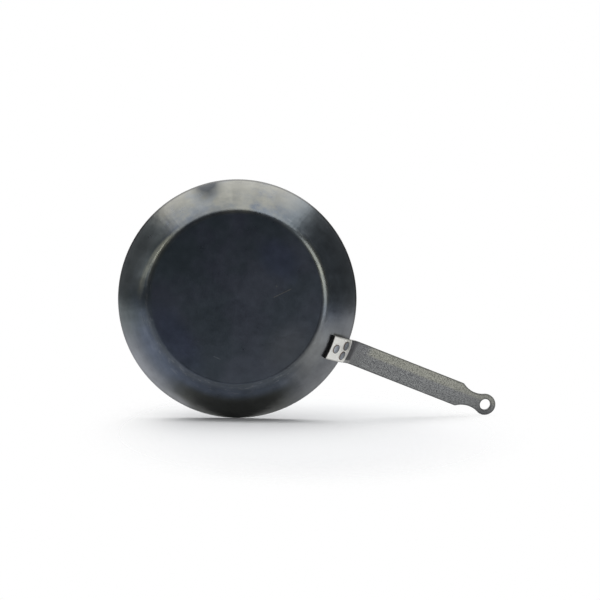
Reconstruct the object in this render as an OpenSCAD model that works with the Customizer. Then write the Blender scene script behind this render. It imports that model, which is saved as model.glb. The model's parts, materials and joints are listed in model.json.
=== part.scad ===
// Carbon-steel frying pan: a spun sheet body and a flat strip handle held by three rivets.
// The base lies on Z = 0, the pan's axis is Z, and the lower rivet is on the +X side.

/* [Pan] */
// Outer diameter at the rim
rim_d = 280; // [240:1:340]
// Diameter of the flat underside
base_d = 196; // [160:1:240]
// Height of the rim above the underside
pan_h = 50; // [40:1:62]
// Thickness of the sheet
sheet_t = 2; // [1.5:0.1:3]
// Outer radius of the edge between the base and the skirt
base_edge_r = 12; // [8:0.5:15]
// Radius of the skirt's outward bow, seen from the side
skirt_r = 150; // [120:5:300]

/* [Handle] */
// Width of the strip
strip_w = 28.4; // [24:0.2:36]
// Thickness of the strip
strip_t = 4; // [3:0.1:5]
// Length of the foot below the centre of the lower rivet
foot_tail = 10.5; // [9:0.5:14]
// Length of the strip from the rim to the corner of the bend
riser_l = 15.5; // [10:0.5:24]
// Radius of the hollow side of the bend
bend_r = 8; // [5:0.5:14]
// Slope of the straight part above the horizontal
handle_slope = 15; // [5:0.5:30]
// Length from the corner of the bend to the centre of the eye
handle_l = 175; // [130:1:240]
// Turn of the handle on the wall, off a line through the pan's axis: 0 is straight
handle_skew = 6.75; // [-8:0.25:8]

/* [Eye] */
// Outer diameter of the eye
eye_d = 25; // [23:0.5:30]
// Diameter of the hanging hole
eye_hole_d = 13; // [10:0.5:16]
// Narrowest width of the neck before the eye
neck_w = 17.6; // [14:0.2:20]
// Distance from the narrowest place to the centre of the eye
neck_back = 17; // [15:0.5:22]
// Radius of the strip's shoulders, where the neck begins
shoulder_r = 1.5; // [1:0.25:3]

/* [Rivets] */
// Diameter of the shank
shank_d = 6; // [4:0.5:8]
// Diameter of both heads
head_d = 11; // [8:0.5:12]
// Thickness of a head at its edge
head_edge = 0.5; // [0.3:0.1:1]
// Height of the dome above a head's edge
head_dome = 0.7; // [0.4:0.1:2]
// Distance of the two upper rivets below the rim, along the wall
upper_row = 9; // [7:0.5:14]
// Distance from the lower rivet to the upper row
row_pitch = 18; // [13:0.5:24]
// Gap between the heads of the two upper rivets
upper_gap = 1; // [0.8:0.2:4]

/* [Fits] */
// Gap between the foot and the wall
seat_gap = 0.1; // [0.05:0.05:0.3]
// Gap around a shank in its holes
hole_gap = 0.1; // [0.05:0.05:0.3]
// Gap under a head's flat face, at its middle
head_gap = 0.15; // [0.15:0.05:0.3]

/* [Hidden] */
$fn = 180;
through = 20; // reach of a cut past the face it starts from

// Centre of the base edge's arc, and the rim's outer corner, as [radius, height]
edge_c = [base_d / 2, base_edge_r];
rim_p = [rim_d / 2, pan_h];
// The skirt's arc ends at the rim and is tangent to the base edge's arc from outside it, so its
// centre is skirt_r from the rim and skirt_r - base_edge_r from the edge's centre.
chord = rim_p - edge_c;
chord_l = norm(chord);
along = (pow(skirt_r - base_edge_r, 2) - pow(skirt_r, 2) + pow(chord_l, 2)) / (2 * chord_l);
aside = sqrt(pow(skirt_r - base_edge_r, 2) - pow(along, 2));
skirt_c = edge_c + (along * chord + aside * [-chord[1], chord[0]]) / chord_l;

// Slope of the wall where the skirt begins and at the rim
low_slope = atan2(edge_c[0] - skirt_c[0], skirt_c[1] - edge_c[1]);
rim_slope = asin((rim_p[0] - skirt_c[0]) / skirt_r);

// Slope of the wall at the lower rivet, which is where the handle is turned about
upper_drop = upper_row + row_pitch;
pivot_slope = rim_slope - degrees(upper_drop / skirt_r);
rim_u = upper_drop / cos(handle_skew);
upper_pitch = head_d + upper_gap;

// A flat strip across a round wall stands off at its sides by sag, so it is seated at half of that
strip_sag = pow(strip_w / 2, 2) * sin(rim_slope) / rim_d;
formed_past_rim = 1;
strip_z = seat_gap - strip_sag / 2;

// The bend turns the strip from the wall's slope to the handle's
bend_turn = rim_slope - handle_slope;
bend_tangent = bend_r * tan(bend_turn / 2);
bend_c = [riser_l - bend_tangent, strip_z + strip_t + bend_r];

// Outline of the neck: one arc on each side, tangent to the eye
eye_x = handle_l - bend_tangent;
neck_x = eye_x - neck_back;
neck_r = (pow(neck_back, 2) + pow(neck_w / 2, 2) - pow(eye_d / 2, 2)) / (eye_d - neck_w);
neck_y = neck_w / 2 + neck_r;
shoulder_y = strip_w / 2 - shoulder_r;
shoulder_x = neck_x - sqrt(pow(neck_r + shoulder_r, 2) - pow(neck_y - shoulder_y, 2));
// The arcs overlap by this much where they would only touch
bite = 0.01;
// Where the neck's arc meets the eye and the shoulder
neck_end = [eye_x, 0] + eye_d / 2 * [-neck_back, neck_y] / norm([neck_back, neck_y]);
neck_start = [shoulder_x, shoulder_y]
    + shoulder_r / (neck_r + shoulder_r) * [neck_x - shoulder_x, neck_y - shoulder_y];

function degrees(turn) = turn * 180 / PI;

// A place on the wall's outer face, u along the strip from the lower rivet and v across it:
// the wall's slope there, the radius, the height, and the angle about the pan's axis.
function wall_slope(u, v) =
    pivot_slope + degrees((u * cos(handle_skew) - v * sin(handle_skew)) / skirt_r);
function wall_radius(slope) = skirt_c[0] + skirt_r * sin(slope);
function wall_height(slope) = skirt_c[1] - skirt_r * cos(slope);
function wall_azimuth(u, v) =
    degrees(-(u * sin(handle_skew) + v * cos(handle_skew)) / wall_radius(wall_slope(u, v)));

// Puts its children on the wall's outer face, with X along the strip and Z straight out
module on_wall(u, v) {
    slope = wall_slope(u, v);
    azimuth = wall_azimuth(u, v);
    rotate([0, 0, azimuth])
        translate([wall_radius(slope), 0, wall_height(slope)])
            rotate([180, -slope, 0])
                rotate([0, 0, handle_skew + azimuth * cos(slope)])
                    children();
}

// The filled half-section inside the sheet's outer face (inset 0) or its inner face (inset sheet_t)
module filled_section(inset, top) {
    join_z = edge_c[1] - (base_edge_r - inset) * cos(low_slope);
    translate([0, inset])
        square([base_d / 2, top - inset]);
    translate(edge_c)
        circle(r = base_edge_r - inset);
    intersection() {
        translate(skirt_c)
            circle(r = skirt_r - inset);
        translate([0, join_z])
            square([rim_d, top - join_z]);
    }
}

module rivet_places() {
    on_wall(0, 0) children();
    on_wall(row_pitch, upper_pitch / 2) children();
    on_wall(row_pitch, -upper_pitch / 2) children();
}

module rivet_holes() {
    rivet_places()
        translate([0, 0, -through])
            cylinder(d = shank_d + 2 * hole_gap, h = 2 * through);
}

module pan() {
    color([0.17, 0.19, 0.22])
        difference() {
            rotate_extrude()
                difference() {
                    filled_section(0, pan_h);
                    filled_section(sheet_t, pan_h + through);
                }
            rivet_holes();
        }
}

// The foot: a piece of the wall's own shape, outside it, cut to the strip's width
module foot() {
    reach = skirt_r + seat_gap + strip_t;
    sector = 24;
    difference() {
        intersection() {
            rotate([0, 0, -sector])
                rotate_extrude(angle = 2 * sector)
                    intersection() {
                        translate(skirt_c)
                            difference() {
                                circle(r = reach);
                                circle(r = skirt_r + seat_gap);
                            }
                        translate([edge_c[0], 0])
                            square([reach, pan_h + through]);
                    }
            on_wall(0, 0)
                translate([-foot_tail, -strip_w / 2, -through])
                    cube([foot_tail + rim_u + formed_past_rim, strip_w, 2 * through]);
        }
        rivet_holes();
    }
}

// Side view of the strip from the rim to the eye, with X up the wall and Y straight out from it
module strip_section() {
    steps = 16;
    turns = [for (i = [0:steps]) i * bend_turn / steps];
    length = eye_x + eye_d;
    straight = length * [cos(bend_turn), sin(bend_turn)];
    last = [sin(bend_turn), -cos(bend_turn)];
    outer_r = bend_r + strip_t;
    polygon(concat(
        [[formed_past_rim, strip_z]],
        [for (turn = turns) bend_c + outer_r * [sin(turn), -cos(turn)]],
        [bend_c + outer_r * last + straight, bend_c + bend_r * last + straight],
        [for (i = [steps:-1:0]) bend_c + bend_r * [sin(turns[i]), -cos(turns[i])]],
        [[formed_past_rim, strip_z + strip_t]]
    ));
}

// Outline of the strip seen square to its straight part, which starts at X = 0
module grip_outline() {
    behind = riser_l + through;
    difference() {
        union() {
            translate([-behind, -strip_w])
                square([behind + shoulder_x, 2 * strip_w]);
            translate([shoulder_x, -neck_start[1]])
                square([neck_end[0] - shoulder_x, 2 * neck_start[1]]);
            for (side = [-1, 1])
                translate([shoulder_x, side * shoulder_y])
                    circle(r = shoulder_r + bite);
            translate([eye_x, 0])
                circle(d = eye_d);
        }
        for (side = [-1, 1])
            translate([neck_x, side * neck_y])
                circle(r = neck_r + bite);
    }
}

// Puts its children on the straight part, with X along it and Z = 0 on its inner face
module on_grip() {
    translate([bend_c[0], 0, bend_c[1]])
        rotate([0, -bend_turn, 0])
            translate([0, 0, -bend_r - strip_t])
                children();
}

module handle() {
    reach = riser_l + through;
    color([0.49, 0.49, 0.47]) {
        foot();
        on_wall(rim_u, 0)
            difference() {
                intersection() {
                    rotate([90, 0, 0])
                        linear_extrude(strip_w, center = true)
                            strip_section();
                    on_grip()
                        translate([0, 0, -reach])
                            linear_extrude(2 * reach)
                                grip_outline();
                }
                on_grip()
                    translate([eye_x, 0, -1])
                        cylinder(d = eye_hole_d, h = strip_t + 2);
            }
    }
}

// A head standing on Z = 0: a thin disc with a shallow dome
module head_section() {
    dome_r = (pow(head_d / 2, 2) + pow(head_dome, 2)) / (2 * head_dome);
    square([head_d / 2, head_edge]);
    intersection() {
        translate([0, head_edge + head_dome - dome_r])
            circle(r = dome_r);
        square([head_d / 2, head_edge + head_dome]);
    }
}

// Z = 0 is the wall's outer face. The outer head is closed down over the foot.
module rivet() {
    outer_z = seat_gap + strip_t + head_gap;
    inner_z = -sheet_t - head_gap;
    color([0.62, 0.64, 0.67])
        rotate_extrude() {
            translate([0, outer_z])
                head_section();
            translate([0, inner_z])
                mirror([0, 1])
                    head_section();
            translate([0, inner_z - head_edge / 2])
                square([shank_d / 2, outer_z - inner_z + head_edge]);
        }
}

module rivet_lower() {
    on_wall(0, 0) rivet();
}

module rivet_upper_left() {
    on_wall(row_pitch, upper_pitch / 2) rivet();
}

module rivet_upper_right() {
    on_wall(row_pitch, -upper_pitch / 2) rivet();
}

pan();
handle();
rivet_lower();
rivet_upper_left();
rivet_upper_right();
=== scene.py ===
# %% [markdown]
# # A blued carbon-steel frying pan
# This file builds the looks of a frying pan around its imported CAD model. The real pan is three
# kinds of piece: a bowl pressed and spun from one sheet of carbon steel and heated until it turns
# blue-black, a handle bent and punched from flat strip and enamelled in hammered grey, and three
# steel rivets closed cold over the handle's foot. Each is a surface worked out with numpy.

# %% Frame
import json
import math

import bmesh
import bpy
import numpy as np
from mathutils import Matrix, Vector


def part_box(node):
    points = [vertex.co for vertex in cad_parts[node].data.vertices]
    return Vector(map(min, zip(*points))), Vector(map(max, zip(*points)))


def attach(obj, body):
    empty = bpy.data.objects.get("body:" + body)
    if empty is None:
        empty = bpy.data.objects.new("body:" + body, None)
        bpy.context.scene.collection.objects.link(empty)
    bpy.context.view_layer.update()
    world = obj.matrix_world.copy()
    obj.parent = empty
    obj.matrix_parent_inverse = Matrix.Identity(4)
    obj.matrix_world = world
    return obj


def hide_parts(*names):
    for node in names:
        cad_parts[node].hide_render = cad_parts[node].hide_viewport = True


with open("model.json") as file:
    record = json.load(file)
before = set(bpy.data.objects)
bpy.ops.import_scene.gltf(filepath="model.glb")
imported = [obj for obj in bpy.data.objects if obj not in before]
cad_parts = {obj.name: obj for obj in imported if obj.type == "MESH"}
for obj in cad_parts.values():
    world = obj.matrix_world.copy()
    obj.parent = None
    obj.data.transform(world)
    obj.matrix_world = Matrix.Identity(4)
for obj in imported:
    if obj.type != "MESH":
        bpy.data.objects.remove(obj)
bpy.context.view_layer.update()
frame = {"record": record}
MM = 0.001

# %% [markdown]
# ## Sizes
# The rim and the eye are read from the frame, so they can't drift from the CAD model. The other
# sizes are the CAD model's own driving values, in metres, and everything below follows from them.

# %% Sizes
rim_r = max(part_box("pan")[1][:2])
pan_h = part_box("pan")[1][2]
base_r = 98 * MM
sheet_t = 2 * MM
base_edge_r = 12 * MM
skirt_r = 150 * MM

eye = next(m for m in frame["record"]["mounts"] if m["name"] == "hanging_hole")
eye_hole_r = eye["dims"]["r_mm"] * MM
strip_t = eye["dims"]["length_mm"] * MM
strip_w = 28.4 * MM
foot_tail = 10.5 * MM
riser_l = 15.5 * MM
bend_r = 8 * MM
handle_slope = math.radians(15)
handle_l = 175 * MM
handle_skew = math.radians(6.75)
eye_r = 12.5 * MM
neck_w = 17.6 * MM
neck_back = 17 * MM
shoulder_r = 1.5 * MM

head_r = 5.5 * MM
head_edge = 0.35 * MM
head_dome = 0.4 * MM
shank_r = 3 * MM
upper_row = 9 * MM
row_pitch = 18 * MM
upper_pitch = 12 * MM
seat_gap = 0.1 * MM
head_gap = 0.15 * MM

# %% [markdown]
# ## The wall
# Seen from the side, the wall is one arc that ends at the rim and touches the base edge's arc
# from outside. Its centre is where two circles cross: one round the rim, one round the edge's
# centre. The same wall carries the handle's foot and the rivets, so its formula comes first.

# %% Wall
edge_c = np.array([base_r, base_edge_r])
rim_p = np.array([rim_r, pan_h])
chord = rim_p - edge_c
chord_l = np.linalg.norm(chord)
inner_reach = skirt_r - base_edge_r
along = (inner_reach**2 - skirt_r**2 + chord_l**2) / (2 * chord_l)
aside = math.sqrt(inner_reach**2 - along**2)
skirt_c = edge_c + (along * chord + aside * np.array([-chord[1], chord[0]])) / chord_l

low_slope = math.atan2(edge_c[0] - skirt_c[0], skirt_c[1] - edge_c[1])
rim_slope = math.asin((rim_r - skirt_c[0]) / skirt_r)
pivot_slope = rim_slope - (upper_row + row_pitch) / skirt_r
rim_u = (upper_row + row_pitch) / math.cos(handle_skew)
print(f"wall slopes from {math.degrees(low_slope):.1f} to {math.degrees(rim_slope):.1f} degrees")


def on_wall(u, v, lift):
    """Points lift outside the wall, u along the strip from the lower rivet and v across it.

    Turning (u, v) by the handle's skew gives a distance up the wall and one round it. The first,
    over the skirt's radius, adds to the slope a; the second, over the pan's radius there, is the
    angle round the axis. The point is the circle's centre + (skirt_r + lift) (sin a, -cos a).
    """
    up = u * np.cos(handle_skew) - v * np.sin(handle_skew)
    round_it = -u * np.sin(handle_skew) - v * np.cos(handle_skew)
    slope = pivot_slope + up / skirt_r
    turn = round_it / (skirt_c[0] + skirt_r * np.sin(slope))
    radius = skirt_c[0] + (skirt_r + lift) * np.sin(slope)
    height = skirt_c[1] - (skirt_r + lift) * np.cos(slope)
    return np.stack([radius * np.cos(turn), radius * np.sin(turn), height], axis=-1)


def wall_frame(u, v):
    """The point (u, v) on the wall's outer face with its axes: along the strip, across, outwards.

    Outwards is (sin a, -cos a) at slope a. A straight strip keeps its own line on a round wall,
    so its heading from straight up is the skew plus the turn round the axis times cos a.
    """
    slope = pivot_slope + (u * math.cos(handle_skew) - v * math.sin(handle_skew)) / skirt_r
    reach = skirt_c[0] + skirt_r * math.sin(slope)
    turn = -(u * math.sin(handle_skew) + v * math.cos(handle_skew)) / reach
    heading = handle_skew + turn * math.cos(slope)
    radial = np.array([math.cos(turn), math.sin(turn), 0.0])
    round_axis = np.array([-math.sin(turn), math.cos(turn), 0.0])
    axis = np.array([0.0, 0.0, 1.0])
    outwards = math.sin(slope) * radial - math.cos(slope) * axis
    uphill = math.cos(slope) * radial + math.sin(slope) * axis
    ahead = math.cos(heading) * uphill - math.sin(heading) * round_axis
    place = reach * radial + (skirt_c[1] - skirt_r * math.cos(slope)) * axis
    return place, ahead, np.cross(outwards, ahead), outwards


# %% [markdown]
# ## From numbers to meshes
# A surface is a grid of points: rows along one parameter and columns along the other. One helper
# turns such a grid into faces, and can close it on itself and cap its ends at a pole.

# %% Mesh helpers
def grid_faces(rows, cols, wrap_cols=False, first=0):
    """Quads between neighbouring points of a rows x cols grid numbered from first."""
    index = first + np.arange(rows * cols).reshape(rows, cols)
    if wrap_cols:
        index = np.hstack([index, index[:, :1]])
    corners = [index[:-1, :-1], index[:-1, 1:], index[1:, 1:], index[1:, :-1]]
    return np.stack(corners, axis=-1).reshape(-1, 4).tolist()


def add_map(mesh, name, values):
    """Gives every point of a mesh two numbers, kept in a UV map."""
    layer = mesh.uv_layers.new(name=name)
    loop_points = np.empty(len(mesh.loops), dtype=np.int32)
    mesh.loops.foreach_get("vertex_index", loop_points)
    layer.data.foreach_set("uv", np.asarray(values, dtype=np.float32)[loop_points].ravel())


def make_piece(name, points, faces, uv=None, smooth=True):
    """An object with its place in its mesh; uv gives each point a place on its own map."""
    mesh = bpy.data.meshes.new(name)
    mesh.from_pydata(np.asarray(points).tolist(), [], faces)
    if uv is not None:
        add_map(mesh, "shape", uv)
    mesh.polygons.foreach_set("use_smooth", np.full(len(mesh.polygons), smooth))
    mesh.validate()
    mesh.update()
    piece = bpy.data.objects.new(name, mesh)
    bpy.context.scene.collection.objects.link(piece)
    return piece


def arc(centre, radius, start, end, count):
    """Points centre + radius (sin a, -cos a) for slopes a from start to end."""
    slopes = np.linspace(start, end, count)
    return centre + radius * np.stack([np.sin(slopes), -np.cos(slopes)], axis=-1)


def pole_fans(rows, columns):
    """Triangles from one pole to the first ring, and from the last ring to the other pole."""
    here = np.arange(columns)
    ahead = (here + 1) % columns
    first_pole = rows * columns
    last_row = first_pole - columns
    near = np.stack([np.full(columns, first_pole), ahead, here], axis=-1)
    far = np.stack([last_row + here, last_row + ahead, np.full(columns, first_pole + 1)], axis=-1)
    return near.tolist() + far.tolist()


def revolve(name, profile, columns, frame_axes=None):
    """A profile of (radius, height) points carried round an axis, both ends closed at a pole.

    The point is centre + radius (cos t, sin t) in the plane across + height along the axis.
    The map keeps (radius cos t, radius sin t), so a pattern can be drawn on it in metres.
    """
    turns = np.linspace(0, 2 * np.pi, columns, endpoint=False)
    ring = profile[1:-1]
    flat_x = ring[:, :1] * np.cos(turns)
    flat_y = ring[:, :1] * np.sin(turns)
    height = np.repeat(ring[:, 1:], columns, axis=1)
    poles = [[0, 0, profile[0, 1]], [0, 0, profile[-1, 1]]]
    local = np.vstack([np.stack([flat_x, flat_y, height], axis=-1).reshape(-1, 3), poles])
    points = local
    if frame_axes is not None:
        origin, x_axis, y_axis, z_axis = frame_axes
        points = origin + local[:, :1] * x_axis + local[:, 1:2] * y_axis + local[:, 2:] * z_axis
    faces = grid_faces(len(ring), columns, wrap_cols=True) + pole_fans(len(ring), columns)
    return make_piece(name, points, faces, uv=local[:, :2])


print("mesh helpers ready")


# %% [markdown]
# ## The pan's body
# One sheet makes the whole bowl. Its section runs from the middle of the underside out along the
# base, round the edge, up the skirt, over the rim and back inside. The rim is cut and then
# deburred, so its two corners are rounded off. Carrying this section round the axis gives the
# bowl: a lathe would do the same, and so does the real pan's spinning tool.

# %% Pan body
deburr_r = 0.15 * MM


def sheet_side(inset, top):
    """One face of the sheet from the axis to the height top: flat, edge arc, skirt arc."""
    last = math.acos((skirt_c[1] - top) / (skirt_r - inset))
    flat = np.stack([np.linspace(0, base_r, 40), np.full(40, inset)], axis=-1)
    edge = arc(edge_c, base_edge_r - inset, 0, low_slope, 14)
    skirt = arc(skirt_c, skirt_r - inset, low_slope, last, 44)
    return np.vstack([flat, edge[1:], skirt[1:]])


outer = sheet_side(0.0, pan_h - deburr_r)
inner = sheet_side(sheet_t, pan_h - deburr_r)
lip_turns = np.linspace(0, np.pi / 2, 5)[1:]
lip_up = deburr_r * np.sin(lip_turns)
lip_in = 0.9 * deburr_r * (1 - np.cos(lip_turns))
outer_x = np.minimum(outer[-1, 0] + 0.35 * lip_up - lip_in, rim_r)
outer_lip = np.stack([outer_x, outer[-1, 1] + lip_up], axis=-1)
inner_lip = np.stack([inner[-1, 0] + lip_in, inner[-1, 1] + lip_up], axis=-1)
section = np.vstack([outer, outer_lip, inner_lip[::-1], inner[::-1]])
pan_body = revolve("pan_body", section, 288)
print("pan body", len(pan_body.data.polygons), "faces")

# %% [markdown]
# ## The handle
# The real handle is a strip: sheared, punched, then bent and its foot pressed to the wall's curve.
# So it is made here in the same order. A flat outline is drawn first, with the neck's arcs and the
# eye. Each point of that outline is then carried to its place: on the wall near the foot, round
# the bend, and along the straight part. Solidify gives the strip its thickness and Bevel rounds
# its edges, as the tumbling drum does before enamelling.

# %% Handle: the outline in the flat
bend_turn = rim_slope - handle_slope
bend_tangent = bend_r * math.tan(bend_turn / 2)
middle_r = bend_r + strip_t / 2
sag = (strip_w / 2) ** 2 * math.sin(rim_slope) / (2 * rim_r)
strip_z = seat_gap - sag / 2
flat_l = riser_l - bend_tangent
bend_l = middle_r * bend_turn
eye_x = handle_l - bend_tangent
neck_x = eye_x - neck_back
neck_r = (neck_back**2 + (neck_w / 2) ** 2 - eye_r**2) / (2 * (eye_r - neck_w / 2))
neck_y = neck_w / 2 + neck_r
shoulder_y = strip_w / 2 - shoulder_r
shoulder_x = neck_x - math.sqrt((neck_r + shoulder_r) ** 2 - (neck_y - shoulder_y) ** 2)
to_neck = np.array([-neck_back, neck_y]) / math.hypot(neck_back, neck_y)
neck_end = np.array([eye_x, 0]) + eye_r * to_neck
neck_start_x = shoulder_x + shoulder_r * (neck_x - shoulder_x) / (neck_r + shoulder_r)


def half_width(x):
    """Half the strip's width at x on the straight part: straight, shoulder arc, neck arc."""
    shoulder = shoulder_y + np.sqrt(np.clip(shoulder_r**2 - (x - shoulder_x) ** 2, 0, None))
    neck = neck_y - np.sqrt(np.clip(neck_r**2 - (x - neck_x) ** 2, 0, None))
    return np.where(x < shoulder_x, strip_w / 2, np.where(x < neck_start_x, shoulder, neck))


print("the wall turns", round(math.degrees(bend_turn), 1), "degrees at the bend")

# %% Handle: how the flat strip is carried into place
root, root_along, root_across, root_out = wall_frame(rim_u, 0.0)
grip_start = rim_u + flat_l + bend_l
crown = 0.7 * MM
crown_run = 25 * MM
blend_start, blend_l = -0.5 * MM, 4 * MM
wall_past_rim = 6 * MM


def side_view(s):
    """Distance up and out from the rim of the strip's middle line, s beyond the lower rivet.

    Straight to the bend, then middle_r (sin b, 1 - cos b) round it, then straight on at its end.
    """
    beyond = s - rim_u
    turn = np.clip((beyond - flat_l) / middle_r, 0, bend_turn)
    rest = np.clip(beyond - flat_l - bend_l, 0, None)
    up = np.minimum(beyond, flat_l) + middle_r * np.sin(turn) + rest * math.cos(bend_turn)
    out = middle_r * (1 - np.cos(turn)) + rest * math.sin(bend_turn)
    return up, out


def strip_place(s, t):
    """Where the flat strip's point (s, t) lies: formed to the wall below the rim, flat above it.

    The two shapes are blended over blend_l by a smooth step, 3 b^2 - 2 b^3. Past the bend the
    strip is crowned: its middle stands out by 0.4 crown, and it falls away from there by
    crown x (t / half the width)^2, so its edges lie 0.6 crown back.
    """
    up, out = side_view(s)
    crowned = np.clip((s - rim_u - flat_l) / (bend_l + crown_run), 0, 1)
    out = out + crown * crowned * (0.4 - (t / (strip_w / 2)) ** 2)
    flat = (root + up[..., None] * root_along + t[..., None] * root_across
            + (out + strip_z + strip_t / 2)[..., None] * root_out)
    formed = on_wall(np.minimum(s, rim_u + wall_past_rim), t, seat_gap + strip_t / 2)
    b = np.clip((s - rim_u - blend_start) / blend_l, 0, 1)
    b = (b * b * (3 - 2 * b))[..., None]
    return (1 - b) * formed + b * flat


eye_middle = strip_place(np.array([grip_start + eye_x]), np.array([0.0]))[0]
print("handle's eye at", np.round(eye_middle / MM, 2), "mm")

# %% Handle: the strip's grid
across_count = 25
foot_s = np.linspace(-foot_tail, rim_u, 30)
riser_s = rim_u + np.linspace(0, flat_l, 12)[1:]
bend_s = rim_u + flat_l + np.linspace(0, bend_l, 14)[1:]
grip_s = grip_start + np.linspace(0, shoulder_x, 90)[1:]
shoulder_s = grip_start + np.linspace(shoulder_x, neck_start_x, 6)[1:]
join_x = eye_x - eye_hole_r - 3 * MM
neck_s = grip_start + np.linspace(neck_start_x, join_x, 36)[1:]
rows_s = np.concatenate([foot_s, riser_s, bend_s, grip_s, shoulder_s, neck_s])
# The side's points keep to the strip's edge; across it they are even.
share = np.linspace(-1, 1, across_count)
widths = half_width(rows_s - grip_start)
strip_flat = np.stack([np.repeat(rows_s[:, None], across_count, axis=1),
                       widths[:, None] * share], axis=-1)

print("strip's grid", strip_flat.shape[:2])

# %% Handle: the eye's rings
# Rings lie between the eye's outer edge and the hole. That outer edge is the eye's circle, then
# the neck's arc back to the strip's last row, then that row.
neck_angle = math.atan2(neck_end[1], neck_end[0] - eye_x)
round_turns = np.linspace(-neck_angle, neck_angle, 73)
round_edge = eye_r * np.stack([np.cos(round_turns), np.sin(round_turns)], axis=-1)
arc_x = np.linspace(neck_end[0], join_x, 9)[1:-1]
upper_arc = np.stack([arc_x - eye_x, half_width(arc_x)], axis=-1)
join_row = np.stack([np.full(across_count, join_x - eye_x), half_width(join_x) * share[::-1]], axis=-1)
eye_edge = np.vstack([round_edge, upper_arc, join_row, (upper_arc * [1, -1])[::-1]])
to_hole = eye_hole_r * eye_edge / np.linalg.norm(eye_edge, axis=1, keepdims=True)
depth = np.linspace(0, 1, 9)[:, None, None]
eye_flat = (1 - depth) * eye_edge + depth * to_hole + np.array([eye_x + grip_start, 0])

print("eye's rings have", len(eye_edge), "points each")

# %% Handle: one surface
flat_points = np.vstack([strip_flat.reshape(-1, 2), eye_flat.reshape(-1, 2)])
strip_faces = grid_faces(len(rows_s), across_count)
eye_faces = grid_faces(len(depth), len(eye_edge), wrap_cols=True, first=strip_flat.size // 2)
places = strip_place(flat_points[:, 0], flat_points[:, 1])
handle_body = make_piece("handle_strip", places, strip_faces + eye_faces, uv=flat_points)

# A second map keeps how far each point is from the outline, for what differs along an edge.
past_grip = flat_points[:, 0] - grip_start
from_side = half_width(past_grip) - np.abs(flat_points[:, 1])
from_eye = np.hypot(past_grip - eye_x, flat_points[:, 1])
on_eye = past_grip > neck_end[0]
from_edge = np.where(on_eye, eye_r - from_eye, from_side)
from_edge = np.minimum(from_edge, np.where(past_grip > join_x - 4 * MM, from_eye - eye_hole_r, 1.0))
from_edge = np.minimum(from_edge, flat_points[:, 0] + foot_tail)
add_map(handle_body.data, "edge", np.stack([from_edge, from_edge], axis=-1))
print("handle's surface has", len(flat_points), "points")

# %% Handle: thickness and rounded edges
shape = bmesh.new()
shape.from_mesh(handle_body.data)
bmesh.ops.remove_doubles(shape, verts=shape.verts, dist=0.002 * MM)
bmesh.ops.recalc_face_normals(shape, faces=shape.faces)
shape.faces.ensure_lookup_table()
if shape.faces[0].normal.dot(Vector(root_out)) < 0:
    bmesh.ops.reverse_faces(shape, faces=shape.faces)
shape.to_mesh(handle_body.data)
shape.free()
thick = handle_body.modifiers.new("thickness", "SOLIDIFY")
thick.thickness = strip_t
thick.offset = 0
rounded = handle_body.modifiers.new("rounded_edges", "BEVEL")
rounded.width = 0.55 * MM
rounded.segments = 3
rounded.limit_method = "ANGLE"
rounded.angle_limit = math.radians(50)
rounded.harden_normals = True
print("handle", strip_t / MM, "mm thick, edges rounded by", round(rounded.width / MM, 2), "mm")

# %% [markdown]
# ## Rivets
# Each rivet goes through the wall and the foot. Its factory head sits inside the pan, and the
# outer one is hammered down to a shallow cushion, a little uneven. One section makes both heads
# and the shank between them.

# %% Rivets
def head_profile(seat, side):
    """Half a head from the shank's edge out, round its rim and in to the axis.

    seat is the height it sits at and side is 1 for outwards. The dome is a circle's cap: its
    height at r is dome - (R - sqrt(R^2 - r^2)), where R = (r0^2 + dome^2) / (2 dome).
    """
    dome_r = (head_r**2 + head_dome**2) / (2 * head_dome)
    radii = head_r * np.sin(np.linspace(np.pi / 2, 0, 16))
    cap = head_edge + head_dome - dome_r + np.sqrt(dome_r**2 - radii**2)
    soft = head_r - 0.12 * MM * np.array([0.7, 0.1, 0.0, 0.35])
    soft_z = head_edge * np.array([0.0, 0.12, 0.5, 0.92])
    radii = np.concatenate([[shank_r], soft, radii[1:]])
    heights = np.concatenate([[0.0], soft_z, cap[1:]])
    return np.stack([radii, seat + side * heights], axis=-1)


outer_head = head_profile(seat_gap + strip_t + head_gap, 1)
inner_head = head_profile(-sheet_t - head_gap, -1)
rivet_section = np.vstack([inner_head[::-1], outer_head])
rivet_places = {"rivet_lower": (0.0, 0.0),
                "rivet_upper_left": (row_pitch, upper_pitch / 2),
                "rivet_upper_right": (row_pitch, -upper_pitch / 2)}
rivets = {node: revolve(node + "_steel", rivet_section, 64, wall_frame(u, v))
          for node, (u, v) in rivet_places.items()}
print("rivets", list(rivets))

# %% [markdown]
# ## Writing materials as sums
# A material is a sum of patterns. The small classes below let that sum be written as plain Python.
# Nodes fills a node tree by one method, which takes a node's type, its settings and what goes into
# its sockets. Signal wraps a number's socket, so `2 * a + b` adds the Math nodes.

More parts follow.
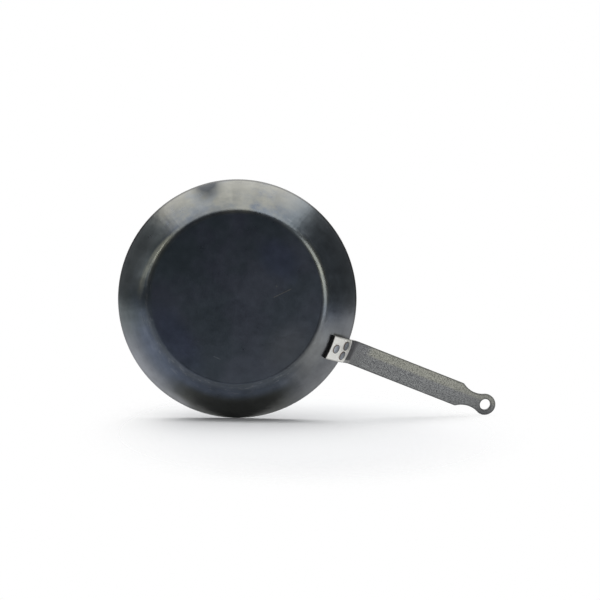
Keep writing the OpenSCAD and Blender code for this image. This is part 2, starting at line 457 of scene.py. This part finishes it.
# %% Node helpers
class Nodes:
    """A node tree and the one method that adds to it."""

    def __init__(self, tree):
        self.tree = tree

    def node(self, kind, settings=None, **sockets):
        """Adds a node: its settings are set first, then the values or links of its sockets.

        A socket is found by its identifier, or by its label with _ for each space.
        """
        node = self.tree.nodes.new("ShaderNode" + kind)
        for key, value in (settings or {}).items():
            setattr(node, key, value)
        for key, value in sockets.items():
            by_id = [s for s in node.inputs if s.identifier == key]
            by_label = [s for s in node.inputs if s.name == key.replace("_", " ") and s.enabled]
            self.plug((by_id or by_label)[0], value)
        return node

    def plug(self, socket, value):
        """Links a Signal or an output to a socket, or sets the socket to a number or colour."""
        if isinstance(value, Signal):
            value = value.socket
        if isinstance(value, bpy.types.NodeSocket):
            self.tree.links.new(value, socket)
        elif socket.type == "RGBA":
            socket.default_value = (*value, 1)
        else:
            socket.default_value = value

    def read(self, kind, output):
        """A number that a node gives with nothing plugged in, such as Light Path's."""
        return Signal(self, self.node(kind).outputs[output])

    def split(self, vector):
        """The three numbers of a vector."""
        return [Signal(self, socket) for socket in self.node("SeparateXYZ", Vector=vector).outputs]

    def joined(self, x, y, z):
        """A vector from three numbers."""
        return self.node("CombineXYZ", X=x, Y=y, Z=z).outputs["Vector"]


class Signal:
    """A number on the surface, held by a node's output socket."""

    def __init__(self, nodes, socket):
        self.nodes = nodes
        self.socket = socket

    def math(self, operation, first, second=0.0):
        node = self.nodes.node("Math", {"operation": operation}, Value=first, Value_001=second)
        return Signal(self.nodes, node.outputs["Value"])

    def __add__(self, other):
        return self.math("ADD", self, other)

    def __radd__(self, other):
        return self.math("ADD", other, self)

    def __sub__(self, other):
        return self.math("SUBTRACT", self, other)

    def __rsub__(self, other):
        return self.math("SUBTRACT", other, self)

    def __mul__(self, other):
        return self.math("MULTIPLY", self, other)

    def __rmul__(self, other):
        return self.math("MULTIPLY", other, self)

    def __truediv__(self, other):
        return self.math("DIVIDE", self, other)

    def __pow__(self, other):
        return self.math("POWER", self, other)

    def at_least(self, other):
        """The greater of the two, so masks can be laid together."""
        return self.math("MAXIMUM", self, other)

    def size(self):
        """The number without its sign."""
        return self.math("ABSOLUTE", self)

    def root(self):
        return self.math("SQRT", self)

    def step(self, low, high):
        """0 at low, 1 at high and a smooth curve between; it falls where low is the greater."""
        first, last = (1.0, 0.0) if low > high else (0.0, 1.0)
        node = self.nodes.node("MapRange", {"interpolation_type": "SMOOTHSTEP"},
                               Value=self, From_Min=min(low, high), From_Max=max(low, high),
                               To_Min=first, To_Max=last)
        return Signal(self.nodes, node.outputs["Result"])

    def between(self, low, full_low, full_high, high):
        """0 outside low and high, rising to 1 at full_low and falling again from full_high."""
        return self.step(low, full_low) * self.step(high, full_high)


# %% Material helper
class Material(Nodes):
    """A material with one Principled shader."""

    def __init__(self, name, **constants):
        self.data = bpy.data.materials.new(name)
        self.data.use_nodes = True
        super().__init__(self.data.node_tree)
        self.shader = self.tree.nodes["Principled BSDF"]
        self.set(**constants)

    def set(self, **values):
        """Sets the shader's own sockets, named with _ for each space."""
        for key, value in values.items():
            self.plug(self.shader.inputs[key.replace("_", " ")], value)

    def place(self):
        """The point itself, in the frame's metres."""
        return self.node("TexCoord").outputs["Object"]

    def map(self, name="shape"):
        """The point's place on one of the piece's own maps."""
        return self.node("UVMap", {"uv_map": name}).outputs["UV"]

    def noise(self, vector, scale, detail, roughness=0.6):
        """Soft blotches, from about -0.5 to 0.5 with a mean of 0; scale is how many a metre."""
        node = self.node("TexNoise", Vector=vector, Scale=scale, Detail=detail, Roughness=roughness)
        return Signal(self, node.outputs["Fac"]) - 0.5

    def cells(self, vector, scale, smooth):
        """Distance from the nearest of many scattered points, 0 on each point."""
        node = self.node("TexVoronoi", {"feature": "SMOOTH_F1"},
                         Vector=vector, Scale=scale, Smoothness=smooth)
        return Signal(self, node.outputs["Distance"])

    def mix(self, share, low, high):
        """The colour low where share is 0 and high where it is 1."""
        node = self.node("Mix", {"data_type": "RGBA"}, Factor_Float=share, A_Color=low, B_Color=high)
        return next(s for s in node.outputs if s.identifier == "Result_Color")

    def scaled(self, colour, amount):
        """A colour made lighter or darker by a number that varies."""
        node = self.node("VectorMath", {"operation": "SCALE"}, Vector=colour, Scale=amount)
        return node.outputs["Vector"]

    def bump(self, height, distance):
        """A surface direction that leans as if the height, times the distance, were real."""
        return self.node("Bump", Height=height, Distance=distance).outputs["Normal"]


print("helpers ready: Nodes, Signal and Material")

# %% [markdown]
# ## Blued steel
# Bluing is a skin of iron oxide a fraction of a micron thick, grown on hot steel. It is metal
# below and dark glass above, so it shines like a dull metal: near black where the room is dark and
# pale where a lamp or the table is mirrored. It isn't even. Heat leaves warmer and colder clouds,
# stacking rubs the base's edge bright, and hands leave smears and hairline scratches. One material
# covers the whole bowl, so the first thing to know at a point is which face of the sheet it is on.

# %% Blued steel: where things are
blued = Material("blued_steel", Metallic=1.0)
place = blued.place()
x, y, z = blued.split(place)
radius = (x * x + y * y).root().at_least(1 * MM)
past_base = radius - base_r
deep, shallow = 0.65 * sheet_t, 0.35 * sheet_t
edge_top = 5 * MM


def from_centre(centre):
    """How far a point's section is from the centre of one of the wall's arcs."""
    return ((radius - centre[0]) ** 2 + (z - centre[1]) ** 2).root()


# Going in through the sheet, each of these falls from 1 to 0 about its middle.
on_flat = z.step(deep, shallow)
on_skirt = from_centre(skirt_c).step(skirt_r - deep, skirt_r - shallow)
on_edge = (from_centre(edge_c).step(base_edge_r - deep, base_edge_r - shallow)
           * z.step(edge_top + 0.2 * MM, edge_top - 0.2 * MM) * past_base.step(-1 * MM, 0))
outside = on_flat.at_least(on_skirt).at_least(on_edge)
under = past_base.step(4 * MM, -1 * MM)
print("outer face found with", len(blued.tree.nodes), "nodes")

# %% Blued steel: patterns
clouds = blued.noise(place, 13, detail=4)
mottle = blued.noise(place, 75, detail=5, roughness=0.62)
speckle = blued.noise(place, 90, detail=6, roughness=0.7)
elsewhere = blued.node("Mapping", Vector=place, Location=(0.7, 0.3, 0.2)).outputs["Vector"]
hue = blued.noise(elsewhere, 19, detail=3, roughness=0.55)


def streaks(around, up, detail):
    """Blotches drawn out round the axis; around and up set how many there are each way."""
    turned = blued.joined(around * x / radius, around * y / radius, up * radius)
    return blued.noise(turned, 1.0, detail=detail)


swept = streaks(8, 16, detail=3)
lapped = streaks(4, 110, detail=3)
rings = streaks(6, 1400, detail=2)
strokes = streaks(13, 450, detail=2)
print("eight patterns, from hand-sized clouds to rings finer than a millimetre")


# %% Blued steel: ways to say where
def towards(degrees):
    """How far a point lies towards one side of the pan: -1 at one rim, 1 at the other."""
    angle = math.radians(degrees)
    return x * (math.cos(angle) / rim_r) + y * (math.sin(angle) / rim_r)


def facing(degrees):
    """The cosine of the angle between a point and this side of the pan, seen from the axis."""
    return towards(degrees) * rim_r / radius


def patch(degrees, reach, half_round, half_up, core=0.15):
    """An oval mark, 1 in its core and 0 outside; reach and the two half sizes are in mm."""
    cos, sin = math.cos(math.radians(degrees)), math.sin(math.radians(degrees))
    up = (x * cos + y * sin - reach * MM) / (half_up * MM)
    across = (y * cos - x * sin) / (half_round * MM)
    return (up * up + across * across).root().step(1.0, core)


def scratch(start, end, width):
    """A straight scratch in mm: near its line, and between its ends along it."""
    start, end = MM * np.array(start), MM * np.array(end)
    width = width * MM
    length = float(np.linalg.norm(end - start))
    ux, uy = ((end - start) / length).tolist()
    along = x * ux + y * uy - float(start @ (ux, uy))
    across = (y * ux - x * uy - float(start[1] * ux - start[0] * uy)).size()
    ends = along.between(0, width, length - 5 * width, length)
    return across.step(width, 0.25 * width) * ends


def colour_zones(tint, zones):
    """Lays zones of colour over a tint, each a (where, how far it covers, colour)."""
    for where, cover, colour in zones:
        tint = blued.mix(where * cover, tint, colour)
    return tint


print("helpers ready: towards, facing, patch, scratch and oxides")

# %% [markdown]
# ## The oxide's colours, and painted light
# Oxide's colour follows its thickness: straw where it is thinnest, then blue, then slate and near
# black. On the real pan each side met the flame differently, so the colour changes round the pan
# as well as up the wall. Painting it by hand would lose that at another size. Here each zone is a
# place, how far it covers and its colour, and the zones lie over each other like thin washes. Not
# every zone is oxide: the base's lighter side and some zones on the wall and rim are painted light,
# painted reflections and painted shade, each marked where it stands.

# %% Blued steel: oxide and painted light on the base
# Painted light: lighter makes the base paler towards one side (23 degrees), as painted light and
# reflection; clouds and mottle break it up.
lighter = (0.60 * towards(23) + 0.5 + 0.6 * clouds + 0.3 * mottle).step(0.0, 1.0)
bluer = hue.step(-0.12, 0.12)
base_oxide_in_shade = blued.mix(bluer, (0.074, 0.094, 0.112), (0.078, 0.088, 0.118))
base_oxide_lit = blued.mix(bluer, (0.117, 0.139, 0.168), (0.127, 0.143, 0.176))
indigo = blued.mix(lighter, (0.076, 0.080, 0.136), (0.106, 0.137, 0.200))
indigo_patches = patch(290, 68, 50, 34, core=0.0).at_least(patch(118, 84, 75, 34, core=0.0))
base_tint = colour_zones(blued.mix(lighter, base_oxide_in_shade, base_oxide_lit), [
    ((indigo_patches + 0.4 * mottle + 0.9 * clouds).step(0.1, 0.9), 0.7, indigo),
    # Painted reflection: a paler patch near the base's edge on the same side.
    (patch(17, 82, 45, 34), 0.8, (0.176, 0.192, 0.216)),
])
base_tint = blued.scaled(base_tint, 1.0 + 0.24 * mottle + 0.45 * hue)
print("base oxide in", len(blued.tree.nodes), "nodes")

# %% Blued steel: oxide, painted reflections and painted shade on the wall
straw = (1.1 * towards(232) - 0.22 + 0.8 * clouds + 0.8 * mottle).step(0.15, 0.75)
cream = straw * (hue + 0.5 * mottle + 0.20 * facing(205)).step(-0.04, 0.12)
steel_blue = straw * hue.step(0.0, -0.14)
cold = (0.9 * facing(105) - 0.1 + 0.8 * lapped + 0.8 * mottle).step(0.2, 0.9)
cold = cold * radius.step(132 * MM, 112 * MM)
veil = ((0.55 * lapped + 0.45 * clouds).step(0.0, 0.16)
        * radius.step(126 * MM, 108 * MM) * facing(200).step(0.7, 0.35))
# Painted reflection: the left wall near the rim is painted pale where the left lamp is mirrored.
left_reflection = facing(178).step(0.91, 0.985) * radius.step(110 * MM, 118 * MM)
# Painted shadow: shaded darkens the lower wall near the rim, where it mirrors the pan's shadow on the
# table.
shaded = facing(65).step(0.75, 0.93) * radius.step(112 * MM, 121 * MM)

rim_tint = blued.mix(straw, (0.155, 0.166, 0.183), (0.156, 0.157, 0.143))
# Painted highlight: a bright streak along the rim on the lower left.
rim_tint = colour_zones(rim_tint, [(patch(112, 141, 85, 22), 0.9, (0.240, 0.250, 0.274))])
wall_tint = blued.mix(straw, (0.100, 0.117, 0.144), (0.116, 0.119, 0.111))
wall_tint = colour_zones(blued.mix(radius.step(112 * MM, 138 * MM), wall_tint, rim_tint), [
    (cream, 0.40, (0.166, 0.163, 0.140)),
    (steel_blue, 0.5, (0.112, 0.128, 0.152)),
    # Painted shade: the left wall is darkened beside the left lamp's reflection.
    (facing(165).step(0.80, 0.95), 0.8, (0.085, 0.104, 0.107)),
    # Painted reflection of the left lamp.
    (left_reflection, 0.8, (0.205, 0.228, 0.236)),
    (facing(305).step(0.78, 0.93), 0.8, (0.106, 0.124, 0.136)),
    (cold, 0.65, (0.087, 0.105, 0.148)),
    # Painted reflection: the lower right wall is painted paler where the table is mirrored.
    (facing(8).step(0.86, 0.98), 0.65, (0.140, 0.143, 0.146)),
    (patch(273, 124, 34, 26), 0.35, (0.100, 0.107, 0.114)),
    (veil, 0.36, (0.150, 0.168, 0.200)),
    # Painted reflection: a paler patch on the lower right wall, where the table is mirrored.
    (patch(6, 111, 50, 18), 0.75, (0.190, 0.196, 0.196)),
    # Painted shadow mirrored from the table.
    (shaded, 0.85, (0.068, 0.070, 0.061)),
    # Painted highlight along the rim on the lower left.
    (patch(94, 138.5, 34, 9), 0.8, (0.30, 0.305, 0.32)),
])
unevenness = 0.45 * swept + 0.40 * lapped + 0.55 * mottle + 0.5 * clouds
wall_tint = blued.scaled(wall_tint, 1.0 + unevenness)
print("wall oxide in", len(blued.tree.nodes), "nodes")

# %% Blued steel: the base's edge, painted shade, painted highlights and rubbed wear
# Painted shade: this band of the base's edge is darkened on its lower side below.
shaded_edge_band = past_base.between(-0.5 * MM, 1 * MM, 3 * MM, 6 * MM)
# Painted shade: the base's edge and the start of the wall are darkened on three sides.
edge_shade_sides = facing(118).step(0.0, 0.6).at_least(facing(205).step(0.7, 0.95))
edge_shade_sides = edge_shade_sides.at_least(facing(36).step(0.94, 0.99))
painted_edge_shade = past_base.between(0, 4.5 * MM, 4 * MM, 16 * MM) * edge_shade_sides

# Partly real wear, partly painted highlight: the rubbed band is strongest on two arcs where the side lamps
# are mirrored, and a streak up the left wall paints the left lamp's highlight in worn-steel colour.
edge_band = past_base.between(0.5 * MM, 3.5 * MM, 7 * MM, 10.5 * MM)
inner_left = facing(185).step(0.5, 0.85) * past_base.step(6 * MM, 3.5 * MM)
highlight_arcs = patch(312, 100, 56, 30).at_least(patch(185, 100, 50, 30))
rubbed = (0.5 * rings + 0.5 * speckle).step(-0.12, 0.10)
worn_and_highlight = outside * edge_band * (1 - 0.75 * inner_left) * (0.12 + 0.88 * highlight_arcs) * (0.5 + 0.5 * rubbed)
slanted = past_base - 12.3 * MM * facing(86) + 3 * MM * mottle
highlight_streak = facing(176).step(0.90, 0.985) * slanted.between(6.5 * MM, 9.5 * MM, 12 * MM, 16 * MM)
bright_steel_and_highlight = 0.8 * worn_and_highlight + outside * highlight_streak * (0.34 + 0.46 * rubbed)

tint = blued.mix(under, wall_tint, base_tint)
# Painted shade on the lower side of the base's edge.
tint = blued.scaled(tint, 1.0 - 0.35 * shaded_edge_band * facing(38).step(0.2, 0.75))
tint = colour_zones(tint, [
    # Painted shade on the base's edge.
    (painted_edge_shade, 0.62, (0.040, 0.048, 0.064)),
    # Rubbed bright steel and painted highlights.
    (bright_steel_and_highlight, 1.0, (0.270, 0.276, 0.232)),
])
print("base's edge in", len(blued.tree.nodes), "nodes")

# %% [markdown]
# ## Marks of use
# A pan that has been carried, stacked and wiped has fine rings from the spinning tool, short
# strokes beside the edge, a few scratches across the base and one dark smear below the rim. A
# painted shadow runs along the handle's foot, and the last few millimetres below the rim are
# darker, most on the upper side. Each is a line or band in the pan's own measures, so it stays
# where it is when the pan turns. They are on the outer face only.

# %% Blued steel: marks and scratches
feathered = strokes.step(0.05, 0.22) * past_base.between(1 * MM, 5 * MM, 8 * MM, 20 * MM)
hairs = (rings - 0.08 * clouds).step(0.16, 0.24) * past_base.between(-14 * MM, 2 * MM, 8 * MM, 22 * MM)
smudge = patch(228, 144, 26, 34, core=0.0) * (1.55 + 1.2 * mottle)
long_scratch = scratch((37.5, -20.5), (52.4, -39.8), 0.7)
fleck_mark = scratch((34.1, -34.8), (36.0, -32.0), 1.5)
faint = scratch((-17.6, 64.0), (-15.2, 66.8), 1.0).at_least(scratch((5.0, 72.0), (17.0, 71.4), 1.0))
rim_line = (z.step(pan_h - 5.0 * MM, pan_h - 2.8 * MM)
            * (0.25 + 0.75 * facing(258).step(-0.3, 0.3)))
# Painted shadow: a dark line on the wall along the foot's upper side, where the strip stands off the wall.
foot_side = [on_wall(np.array(u), np.array(strip_w / 2 + 0.9 * MM), 0.0)[:2] / MM
             for u in (-foot_tail, rim_u)]
foot_shadow = scratch(*foot_side, 2.4)
tint = colour_zones(tint, [
    (outside * feathered * clouds.step(-0.1, 0.1), 0.36, (0.27, 0.28, 0.29)),
    (outside * hairs * mottle.step(-0.02, 0.12), 0.35, (0.26, 0.26, 0.25)),
    (outside * smudge, 1.0, (0.012, 0.016, 0.020)),
    (outside * long_scratch, 0.55, (0.30, 0.28, 0.25)),
    (outside * fleck_mark, 0.9, (0.60, 0.56, 0.42)),
    (outside * faint * mottle.step(-0.08, 0.05), 0.35, (0.30, 0.32, 0.35)),
    (outside * rim_line, 0.75, (0.045, 0.045, 0.043)),
    # Painted shadow along the foot.
    (outside * foot_shadow, 0.8, (0.030, 0.030, 0.022)),
])
blued.set(Base_Color=tint,
          Roughness=0.30 + 0.12 * mottle + 0.08 * clouds + 0.04 * painted_edge_shade - 0.04 * worn_and_highlight,
          Normal=blued.bump(clouds + 0.09 * mottle + 0.30 * (1 - under) * (swept + 0.5), 0.8 * MM))
print("blued steel in", len(blued.tree.nodes), "nodes")

# %% [markdown]
# ## Hammered enamel and bare steel
# The enamel draws itself into small round dimples as it dries, like beaten metal, with flakes of
# aluminium that gather on the ridges. It stops at the rim's line, and the foot below is bare,
# where the rivets need clean metal. The strip's own map gives s along it and t across it, so each
# finish can be placed as a maker would measure it.

# %% Handle finish: where each finish is
enamel = Material("hammered_enamel")
place = enamel.place()
x, y, z = enamel.split(place)
from_skirt = (((x * x + y * y).root() - skirt_c[0]) ** 2 + (z - skirt_c[1]) ** 2).root()
front = from_skirt.step(skirt_r + 1.5 * MM, skirt_r + 3 * MM)
s, t, _ = enamel.split(enamel.map())
from_edge, _, _ = enamel.split(enamel.map("edge"))
fleck = enamel.noise(place, 1250, detail=2, roughness=0.8)
dimple = enamel.cells(place, 1000, smooth=0.5)
haze = enamel.noise(place, 45, detail=3)

across = t / (strip_w / 2)
back_bare, front_bare, bulge = -1.5 * MM, 0.2 * MM, 3.4 * MM
bare_end = rim_u + back_bare + front * (front_bare - back_bare + bulge * (1 - across * across))
past_bare = s - bare_end
bare = past_bare.step(0.3 * MM, -0.2 * MM)
# A near-white line along where the enamel stops.
bright_line = (past_bare + 0.5 * MM).size().step(1.3 * MM, 0.5 * MM)
bend_start = rim_u + flat_l
# Smooth enamel next to the bend: no dimples, and painted near black as painted shade and dark reflection.
smooth_zone = (s - 0.12 * t + 0.8 * MM * haze).step(bend_start + 6.4 * MM, bend_start + 4.0 * MM)
lit_low_corner = t.step(-9.3 * MM, -11.3 * MM)
cut_end = s.step(0.5 * MM - foot_tail, 0.2 * MM - foot_tail)
# edge marks the strip's rounded edges, which are painted darker as painted shade below.
edge = from_edge.step(1.8 * MM, 0.6 * MM)
print("enamel starts", round((rim_u + front_bare + bulge) / MM, 1), "mm beyond the lower rivet")

# %% Handle finish: hammered grey, with painted light and shade
grain = (dimple + 1.7 * fleck).step(0.06, 0.84)
hammered = enamel.mix(grain, (0.324, 0.329, 0.324), (0.077, 0.081, 0.086))
hammered = enamel.mix(haze.step(-0.2, 0.2) * 0.15, hammered, (0.20, 0.203, 0.20))
# Painted light: the grip's upper half is painted lighter and olive, where the lamp above lights it.
lit_upper_half = ((t + 2 * MM * haze).step(1.2 * MM, 5.5 * MM)
          * s.step(grip_start + 10 * MM, grip_start + 20 * MM))
lit_olive = enamel.mix(grain, (0.450, 0.447, 0.385), (0.160, 0.161, 0.137))
hammered = enamel.mix(lit_upper_half * 0.9, hammered, lit_olive)
# Painted shade: the grey is darker next to the bend, and towards the eye.
near_bend = s.step(grip_start + 14 * MM, grip_start - 2 * MM)
hammered = enamel.mix(near_bend * 0.75, hammered, (0.155, 0.158, 0.160))
near_eye = s.step(grip_start + 110 * MM, grip_start + 180 * MM)
hammered = enamel.mix(near_eye * 0.45, hammered, (0.130, 0.133, 0.131))
eye_s = grip_start + eye_x
# Painted shade on the eye's lower side, where it joins the neck.
eye_foot = s.step(eye_s - 14 * MM, eye_s - 2 * MM) * t.step(4 * MM, -9 * MM)
hammered = enamel.mix(eye_foot * 0.5, hammered, (0.072, 0.074, 0.078))
# Painted shade and dark reflection in the smooth zone; its lower corner is painted light grey as a painted
# highlight.
smooth_grey = enamel.mix(lit_low_corner, (0.092, 0.092, 0.096), (0.33, 0.33, 0.32))
grey = enamel.mix(smooth_zone, hammered, smooth_grey)
# Painted shade along the grey's rounded edges.
grey = enamel.mix(edge * 0.7, grey, (0.045, 0.045, 0.043))
print("hammered grey in", len(enamel.tree.nodes), "nodes")

# %% Handle finish: bare foot, and the two together
steel = enamel.mix(fleck.step(-0.2, 0.2), (0.86, 0.85, 0.81), (0.76, 0.75, 0.71))
# Painted shade: the bare foot's upper side near the upper rivets is painted darker, where the foot curves
# away.
upper_rivet_shade = (s.step(rim_u - 11 * MM, rim_u - 8 * MM)
           * (t + 3 * MM * haze).step(-1 * MM, 4 * MM))
steel = enamel.mix(upper_rivet_shade * 0.5, steel, (0.34, 0.34, 0.30))
# Painted shade along the bare foot's edges.
steel = enamel.mix(edge * 0.5, steel, (0.12, 0.12, 0.10))
steel = enamel.mix(bright_line * 0.9, steel, (0.97, 0.96, 0.92))
# Painted shade: the foot's cut end face is painted near black.
steel = enamel.mix(cut_end, steel, (0.010, 0.010, 0.010))
relief = (dimple + 0.5 * fleck + 0.25) * (1 - bare) * (1 - smooth_zone)
enamel.set(Base_Color=enamel.mix(bare, grey, steel),
           Metallic=0.45 + 0.3 * bare * (1 - cut_end),
           Roughness=0.36 + 0.10 * fleck + 0.3 * cut_end + 0.08 * bare,
           Normal=enamel.bump(relief, 0.32 * MM))
print("handle finish in", len(enamel.tree.nodes), "nodes")

# %% [markdown]
# ## Rivet steel
# The rivets are bare, a little blued by the heat of the enamelling oven. Where each head meets the
# foot a ring is painted: brown rust and tarnish on the side towards the base, near black on the side
# towards the rim. Their map is measured from the rivet's own axis, so one material serves all three,
# and the two near the rim are told apart by how far out they are and painted darker as painted shade.

# %% Rivet steel
riveted = Material("rivet_steel", Metallic=1.0)
place = riveted.place()
u, v, _ = riveted.split(riveted.map())
x, y, _ = riveted.split(place)
from_middle = (u * u + v * v).root()
peened = riveted.noise(place, 450, detail=3)
# Painted shade: the two rivets near the rim are painted darker.
shaded_upper_pair = (x * x + y * y).root().step(128 * MM, 132 * MM)
steel = riveted.mix(peened.step(-0.2, 0.2), (0.34, 0.37, 0.41), (0.47, 0.50, 0.54))
steel = riveted.mix(shaded_upper_pair * 0.75, steel, (0.17, 0.185, 0.21))
steel = riveted.mix(from_middle.step(1.6 * MM, 0.6 * MM) * 0.5, steel, (0.46, 0.46, 0.44))
# The ring where each head meets the foot: brown rust and tarnish towards the base, near black towards the
# rim.
ring = (from_middle - 5.2 * MM).size().step(0.75 * MM, 0.3 * MM)
tarnish_and_dark = riveted.mix(u.step(1 * MM, -3 * MM), (0.050, 0.045, 0.042), (0.140, 0.085, 0.050))
steel = riveted.mix(ring * 0.9, steel, tarnish_and_dark)
riveted.set(Base_Color=steel, Roughness=0.38 + 0.1 * peened, Normal=riveted.bump(peened, 0.2 * MM))
print("rivet steel in", len(riveted.tree.nodes), "nodes")

# %% [markdown]
# ## Pieces on the frame
# Each piece rides on the CAD model's body and hides the CAD node whose place it takes; its finish
# is one of the materials made above. Nothing on this pan moves, so there is only one body.

# %% Pieces on the frame
pan_body.data.materials.append(blued.data)
handle_body.data.materials.append(enamel.data)
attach(pan_body, "root")
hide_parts("pan")
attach(handle_body, "root")
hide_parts("handle")
for node, rivet in rivets.items():
    rivet.data.materials.append(riveted.data)
    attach(rivet, "root")
    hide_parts(node)
print("pieces on the frame:", 2 + len(rivets))

# %% [markdown]
# ## View
# The pan stands on its rim with its underside to the camera, and the handle's eye leans on the
# same table. So the camera looks straight up the pan's axis from below, far off, rolled until the
# handle falls to the lower right.

# %% View axes and camera
view_roll = math.radians(27.0)
right = Vector((math.cos(view_roll), -math.sin(view_roll), 0))
down = Vector((math.sin(view_roll), math.cos(view_roll), 0))
away = Vector((0, 0, 1))
camera_distance = 5.0
pans_across_view = 2.5136
frame_width = pans_across_view * 2 * rim_r
rim_centre = Vector((0, 0, pan_h))
aim_right, aim_down = 0.1045 * frame_width, 0.0024 * frame_width
look_at = rim_centre + aim_right * right + aim_down * down

lens = bpy.data.cameras.new("camera")
lens.sensor_width = 36
lens.lens = lens.sensor_width * camera_distance / frame_width
lens.clip_end = 50
camera = bpy.data.objects.new("camera", lens)
bpy.context.scene.collection.objects.link(camera)
camera.location = look_at - camera_distance * away
camera.rotation_euler = Matrix((right, -down, -away)).transposed().to_euler()
bpy.context.scene.camera = camera
print("camera lens", round(lens.lens, 1))

# %% [markdown]
# ## Table, lamps and room
# The table is a pale plane under the rim and the eye. One wide soft lamp hangs above and a little
# behind, as a lightbox's top does; weaker ones on both sides draw the base's edge. The room in
# front is dim, which is why the underside mirrors almost nothing.

# %% Table
table_tilt = math.radians(5.5)
contact = rim_centre + rim_r * down
table_along = (away * math.cos(table_tilt) - down * math.sin(table_tilt)).normalized()
level_up = (-down * math.cos(table_tilt) - away * math.sin(table_tilt)).normalized()

# The table turns about its line under the rim until it meets the handle's eye.
evaluated = handle_body.evaluated_get(bpy.context.evaluated_depsgraph_get())
handle_points = np.array([v.co for v in evaluated.data.vertices]) - np.array(contact)
eye_points = handle_points[handle_points @ np.array(right) > 0.2]
roll = np.min(np.arctan2(eye_points @ np.array(level_up), eye_points @ np.array(right)))
table_right = right * math.cos(roll) + level_up * math.sin(roll)
table_up = level_up * math.cos(roll) - right * math.sin(roll)
table_left, table_right_end, table_near, table_far = -1.2, 0.82, 2.0, 2.2
print("table rolled by", round(math.degrees(roll), 2), "degrees")

corners = [contact + side * table_right + reach * table_along
           for side, reach in ((table_left, -table_near), (table_right_end, -table_near),
                               (table_right_end, table_far), (table_left, table_far))]
table = make_piece("table", [list(c) for c in corners], [[0, 1, 2, 3]], smooth=False)
if table.data.polygons[0].normal.dot(table_up) < 0:
    table.data.flip_normals()
table_paint = Material("table_paint", Base_Color=(0.69, 0.69, 0.69), Roughness=0.9, Specular_IOR_Level=0.0)
x, y, z = table_paint.split(table_paint.place())
off_right = x * right.x + y * right.y - contact.dot(right)
off_along = x * table_along.x + y * table_along.y + z * table_along.z - contact.dot(table_along)
shade_right, shade_half_right = 0.08, 0.27
shade_along, shade_half_along = -0.125, 0.47
near_pan = (((off_right - shade_right) / shade_half_right) ** 2
            + ((off_along - shade_along) / shade_half_along) ** 2)
fade = near_pan.root().step(0.45, 1.0)
seen = table_paint.read("LightPath", "Is Camera Ray")
back = table_paint.read("NewGeometry", "Backfacing")
clear = table_paint.node("BsdfTransparent").outputs["BSDF"]
mixer = table_paint.node("MixShader", Fac=seen * back.at_least(fade),
                         Shader=table_paint.shader.outputs["BSDF"], Shader_001=clear)
table_paint.plug(table_paint.tree.nodes["Material Output"].inputs["Surface"], mixer.outputs["Shader"])
table.data.materials.append(table_paint.data)
print("table in", len(table_paint.tree.nodes), "nodes")


# %% Lamps
def at(x, y, z):
    """The point x to the right of the rim's centre, y below it and z behind it, in metres."""
    return rim_centre + x * right + y * down + z * away


def soft_lamp(name, start, end, width, aim, radiance):
    """A flat lamp whose long middle line runs from start to end, facing aim.

    Its power is pi x area x radiance, so at radiance 1 a mirror shows it as plain white.
    """
    length = (end - start).length
    data = bpy.data.lights.new(name, "AREA")
    data.shape = "RECTANGLE"
    data.size, data.size_y = width, length
    data.energy = math.pi * width * length * radiance
    lamp = bpy.data.objects.new(name, data)
    bpy.context.scene.collection.objects.link(lamp)
    middle = (start + end) / 2
    lamp.location = middle
    lamp.visible_camera = False
    long_axis = (end - start).normalized()
    backwards = middle - aim
    backwards = (backwards - long_axis * backwards.dot(long_axis)).normalized()
    side_axis = long_axis.cross(backwards)
    lamp.rotation_euler = Matrix((side_axis, long_axis, backwards)).transposed().to_euler()
    print(name, "gives", round(data.energy, 2), "watts")


soft_lamp("top_lamp", at(-1.1, -1.2, 0.31), at(0.94, -1.2, 0.31), 2.2, at(-0.08, 0, 0.31), 2.3)
soft_lamp("right_lamp", at(1.18, -1.05, -1.2), at(1.22, 0.38, -0.95), 0.95, at(0, 0, 0), 1.65)
soft_lamp("left_lamp", at(-1.2, -0.95, -0.38), at(-1.35, -0.28, -0.02), 0.10, at(0, 0, 0), 4.0)

# %% [markdown]
# ## Room
# The room is dim, so the steel stays dark where no lamp shows in it. The camera sees white behind
# the pan, and so does a mirror or a glass that looks straight past the pan the same way.

# %% Room
world = bpy.data.worlds.new("room")
bpy.context.scene.world = world
world.use_nodes = True
world.node_tree.nodes.clear()
room = Nodes(world.node_tree)
_, _, ahead = room.split(room.node("TexCoord").outputs["Generated"])
camera_ray = room.read("LightPath", "Is Camera Ray")
mirror_ray = room.read("LightPath", "Is Glossy Ray") + room.read("LightPath", "Is Transmission Ray")
dim = room.node("Background", Color=(0.95, 0.97, 1.0), Strength=0.14 * mirror_ray + 0.45 * (1 - mirror_ray))
white = room.node("Background", Color=(1, 1, 1), Strength=1.0)
blend = room.node("MixShader", Fac=camera_ray.at_least(mirror_ray * ahead.step(0.72, 0.88)),
                  Shader=dim.outputs["Background"], Shader_001=white.outputs["Background"])
room.node("OutputWorld", Surface=blend.outputs["Shader"])
bpy.context.scene.view_settings.view_transform = "Standard"
print("room in", len(world.node_tree.nodes), "nodes")
